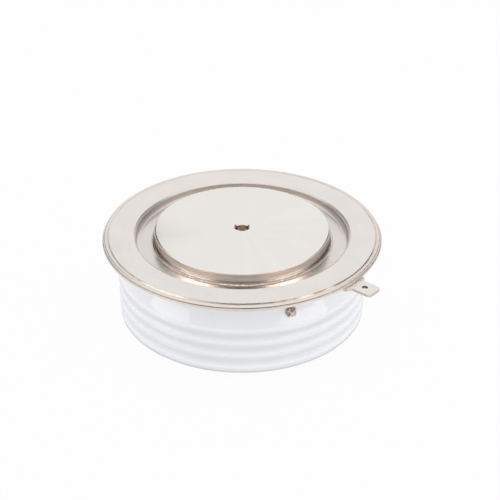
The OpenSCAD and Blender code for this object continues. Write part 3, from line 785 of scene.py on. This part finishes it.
# Lid and its braze: a thin diaphragm drawn from plated copper sheet, with a well that lets it flex
# when the capsule is clamped. It is brazed to the pole, where an uneven fillet shows, and its rim is
# cold-welded to the flange, which leaves the tool's groove and a rounded lip over an open seam.
cathode_fillet_low, cathode_fillet_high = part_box("cathode_braze_ring")
sheet_thickness = 0.6 * mm
well_radius = 28.5 * mm
well_corner = 0.8 * mm
well_edge = 1.0 * mm
groove_cut = 0.2 * mm
lip_edge = rim_radius - 0.35 * mm
lip_round = 0.45 * mm
lip_start = 115
seam_depth = 0.5 * mm
well_floor = cathode_fillet_low.z
lid_top = lid_high.z
weld_level = weld_high.z
well_centre = (well_radius - well_corner, well_floor + well_corner)

lid_sheet = turned(
    "lid_sheet",
    [(contact_radius + braze_gap, well_floor)]
    + arc(well_centre, well_corner, -90, 0, 12)
    + arc((well_radius + well_edge, lid_top - well_edge), well_edge, 180, 90, 12)
    + [
        (lid_flat_radius, lid_top),
        (lid_flat_radius, lid_top - groove_cut),
        (lid_flat_radius + groove_width, lid_top - groove_cut),
    ]
    + arc((lip_edge - lip_round, lid_top - lip_round), lip_round, lip_start, 0, 20)
    + [(lip_edge - seam_depth, weld_level), (well_radius + sheet_thickness, weld_level)]
    + arc(well_centre, well_corner + sheet_thickness, 0, -90, 12)
    + [(contact_radius + braze_gap, lid_low.z)],
)
cathode_fillet = turned(
    "cathode_fillet",
    fillet(
        well_floor,
        cathode_fillet_high.x - contact_radius - braze_gap,
        cathode_fillet_high.z - cathode_fillet_low.z,
    ),
)
seated(lid_sheet, "cathode_lid", weld_nickel)
cathode_braze = uneven_braze("cathode braze", well_floor)
seated(cathode_fillet, "cathode_braze_ring", cathode_braze)

# Studio: a white floor under a white sky, with cards around the capsule that the camera doesn't see.
# White ones in front and behind hold back the sky's light, so that the glaze keeps its shading.
# Mirrors show brown flags, side lights and strips on the floor as bands on metal and patches on glaze.
capsule_middle = Vector((0, 0, lid_top))
floor_size = 6.0
card_white = (1, 1, 1)
lamp_white = (1.0, 0.98, 0.96)
flag_brown = (0.03, 0.024, 0.02)
card_distance = 0.6
camera_card_distance = 0.56
back_card_distance = 0.8
floor_strip_width = 12 * mm
floor_strip_rise = 0.2 * mm
bpy.ops.object.select_all(action="DESELECT")
bpy.ops.mesh.primitive_plane_add(size=floor_size)
floor = bpy.context.object
floor.name = "floor"


def emission(tree, colour, strength):
    """Plain light of one colour."""
    return add(tree, "Emission", {"Color": (*colour, 1), "Strength": strength}).outputs[0]


floor_white, tree, shader = new_finish("floor white")
shader.inputs["Base Color"].default_value = (0.9, 0.9, 0.9, 1)
shader.inputs["Roughness"].default_value = 0.9
shader.inputs["Specular IOR Level"].default_value = 0.0
ray = add(tree, "LightPath").outputs
seen = sums(tree, "MAXIMUM", ray["Is Camera Ray"], ray["Is Glossy Ray"])
seen = sums(tree, "MAXIMUM", seen, ray["Is Transmission Ray"])
shown = scaled(tree, seen, 0, 1, 0.88, 0.95)
table = emission(tree, card_white, scaled(tree, seen, 0, 1, 1.3, 1.0))
mix = add(tree, "MixShader", {0: shown, 1: shader.outputs[0], 2: table})
tree.links.new(mix.outputs[0], tree.nodes["Material Output"].inputs["Surface"])
floor.data.materials.append(floor_white)


def towards(azimuth, elevation, distance=card_distance):
    """A place round the lid. Azimuth 0 is the camera's side."""
    a, e = math.radians(azimuth), math.radians(elevation)
    way = Vector((math.sin(a) * math.cos(e), -math.cos(a) * math.cos(e), math.sin(e)))
    return capsule_middle + way * distance


def studio_card(name, place, width, height, colour, strength=1.0, deep=None, light=None, lying=None):
    """A card that faces the lid, or lies on the floor at a turn in degrees.

    Mirrors show its colour at its strength, or at the deep one after a second bounce.
    Other surfaces get its light, and where it gives none they don't see it.
    """
    bpy.ops.object.select_all(action="DESELECT")
    bpy.ops.mesh.primitive_plane_add(size=1)
    card = bpy.context.object
    card.name = name
    card.location = place
    if lying is None:
        card.rotation_euler = (place - capsule_middle).to_track_quat("Z", "Y").to_euler()
    else:
        card.rotation_euler = (0, 0, math.radians(lying))
    card.scale = (width, height, 1)
    card.visible_camera = False
    card.visible_diffuse = card.visible_shadow = light is not None
    material, tree, _ = new_finish(name)
    ray = add(tree, "LightPath").outputs
    if deep is not None:
        strength = scaled(tree, ray["Glossy Depth"], 1, 2, strength, deep)
    lit, mirrored = emission(tree, card_white, light or 0.0), emission(tree, colour, strength)
    mix = add(tree, "MixShader", {0: ray["Is Glossy Ray"], 1: lit, 2: mirrored})
    tree.links.new(mix.outputs[0], tree.nodes["Material Output"].inputs["Surface"])
    material.cycles.emission_sampling = "NONE"
    card.data.materials.append(material)


camera_place = towards(0, 30, camera_card_distance)
studio_card("front_card", towards(-8, 18), 0.95, 0.52, card_white, deep=0.7, light=0.15)
studio_card("dark_camera", camera_place, 0.46, 0.36, card_white, deep=0.02)
studio_card("left_light", towards(-62, 26), 0.44, 0.42, lamp_white, 1.06, deep=3.8, light=0.95)
studio_card("right_light", towards(57, 26), 0.44, 0.42, lamp_white, 1.06, deep=3.8, light=1.05)
studio_card("left_flag", towards(-133, 24), 0.56, 0.23, flag_brown)
studio_card("right_flag", towards(122, 24), 0.62, 0.23, flag_brown)
for azimuth in (-130, 180, 130):
    back_place = towards(azimuth, 18, back_card_distance)
    studio_card("back_card", back_place, 1.1, 0.66, card_white, light=0.6)
left_strip = Vector((-44.0 * mm, -38.0 * mm, floor_strip_rise))
right_strip = Vector((37.1 * mm, -42.5 * mm, floor_strip_rise))
studio_card("floor_light", left_strip, 30.4 * mm, floor_strip_width, card_white, 2.3, lying=133.7)
studio_card("floor_light", right_strip, 33.8 * mm, floor_strip_width, card_white, 2.3, lying=42.9)

world = bpy.data.worlds.new("white studio")
bpy.context.scene.world = world
world.use_nodes = True
sky = world.node_tree.nodes["Background"].inputs
sky["Color"].default_value = (*card_white, 1)
sky["Strength"].default_value = 1.0

# Camera: at the photograph's height and distance, aimed at the middle of the lid and shifted
# so that the capsule lies where the photograph has it in its frame.
camera_distance = 321.3 * mm
camera_elevation = math.radians(29.77)
camera_way = Vector((0, -math.cos(camera_elevation), math.sin(camera_elevation)))
lens = bpy.data.cameras.new("camera")
lens.sensor_width = 36.0
lens.lens = 86.1
lens.clip_start = 0.01
lens.clip_end = 20.0
lens.shift_x = 0.016
lens.shift_y = -0.039
camera = bpy.data.objects.new("camera", lens)
camera.location = capsule_middle + camera_way * camera_distance
camera.rotation_euler = camera_way.to_track_quat("Z", "Y").to_euler()
bpy.context.scene.collection.objects.link(camera)
bpy.context.scene.camera = camera
bpy.context.scene.view_settings.view_transform = "Standard"
